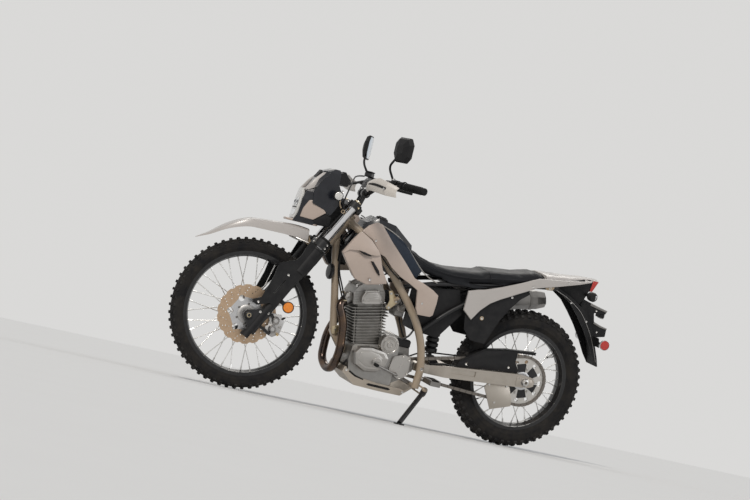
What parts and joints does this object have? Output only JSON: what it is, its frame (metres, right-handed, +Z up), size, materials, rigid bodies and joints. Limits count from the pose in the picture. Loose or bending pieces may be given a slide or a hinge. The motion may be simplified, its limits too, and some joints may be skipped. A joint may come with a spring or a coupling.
{
  "type": "dual sport motorcycle",
  "caption": "Single-cylinder dual sport motorcycle with spoked wheels, high beak fender, long travel fork and side stand, parked leaning on the stand with its steering turned right.",
  "frame": {"origin": "on the ground under the middle of the parked motorcycle", "axes": "-X towards the front wheel, +Y to the rider's right, +Z up; the motorcycle leans to its left, -Y"},
  "size_m": [2.079, 0.8344, 1.2697],
  "materials": {
    "tyre_rubber": "matte",
    "rim_black": "satin",
    "spoke_steel": "polished",
    "hub_silver": "cast",
    "disc_steel": "brushed",
    "sprocket_steel": "brushed",
    "fork_black": "satin",
    "guard_black": "grained",
    "caliper_silver": "cast",
    "fender_grey": "semi-gloss",
    "body_sand": "semi-gloss",
    "lens_clear": "clear",
    "lamp_red": "gloss",
    "lamp_clear": "gloss",
    "grip_rubber": "ribbed",
    "handguard_white": "semi-gloss",
    "frame_sand": "semi-gloss",
    "frame_black": "satin",
    "engine_alloy": "cast",
    "cover_silver": "satin",
    "exhaust_steel": "heat-tinted",
    "tank_black": "gloss",
    "seat_cover": "grained vinyl",
    "arm_silver": "satin",
    "control_steel": "satin"
  },
  "bodies": {
    "frame": {"main_frame": "frame_sand", "subframe": "frame_black", "crankcase": "engine_alloy", "engine_covers": "cover_silver", "cylinder": "engine_alloy", "cylinder_head": "engine_alloy", "airbox": "guard_black", "header": "exhaust_steel", "muffler": "exhaust_steel", "fuel_tank": "tank_black", "upper_shrouds": "body_sand", "lower_shrouds": "body_sand", "tail_covers": "fender_grey", "seat": "seat_cover", "tail_top": "guard_black", "rear_mudguard": "guard_black", "swingarm": "arm_silver", "rear_axle": "spoke_steel", "chain_guards": "guard_black", "rear_caliper": "caliper_silver", "shock_absorber": "frame_black", "chain": "sprocket_steel", "rear_lamps": "lamp_red", "foot_controls": "control_steel", "skid_plate": "cover_silver"},
    "fork": {"fork_upper": "fork_black", "fork_sliders": "fork_black", "fork_guards": "guard_black", "front_axle": "spoke_steel", "front_caliper": "caliper_silver", "front_lamps": "lamp_clear", "front_fender": "fender_grey", "headlight_cowl": "body_sand", "headlight_lens": "lens_clear", "meter": "guard_black", "handlebar": "fork_black", "hand_controls": "grip_rubber", "handguards": "handguard_white", "mirrors": "guard_black"},
    "front_wheel": {"front_tyre": "tyre_rubber", "front_rim": "rim_black", "front_spokes": "spoke_steel", "front_hub": "hub_silver", "front_disc": "disc_steel"},
    "rear_wheel": {"rear_tyre": "tyre_rubber", "rear_rim": "rim_black", "rear_spokes": "spoke_steel", "rear_hub": "hub_silver", "rear_disc": "disc_steel", "rear_sprocket": "sprocket_steel"},
    "side_stand": {"side_stand": "fork_black"}
  },
  "joints": [
    {"name": "steering", "type": "hinge", "parent": "frame", "child": "fork", "pos_m": [-0.37814, 0.03625, 0.79609], "axis": [0.4545, -0.1163, 0.8831], "range_deg": [-32, 52]},
    {"name": "front_wheel_spin", "type": "hinge", "parent": "fork", "child": "front_wheel", "pos_m": [-0.70469, 0.11071, 0.33962], "axis": [0.1547, 0.9867, 0.0503], "continuous": true},
    {"name": "rear_wheel_spin", "type": "hinge", "parent": "frame", "child": "rear_wheel", "pos_m": [0.65919, 0.09897, 0.31969], "axis": [0, 0.9914, 0.1305], "continuous": true},
    {"name": "stand_fold", "type": "hinge", "parent": "frame", "child": "side_stand", "pos_m": [0.1791, 0.00048, 0.16378], "axis": [-0.0125, -0.6507, 0.7592], "range_deg": [0, 118.76]}
  ]
}
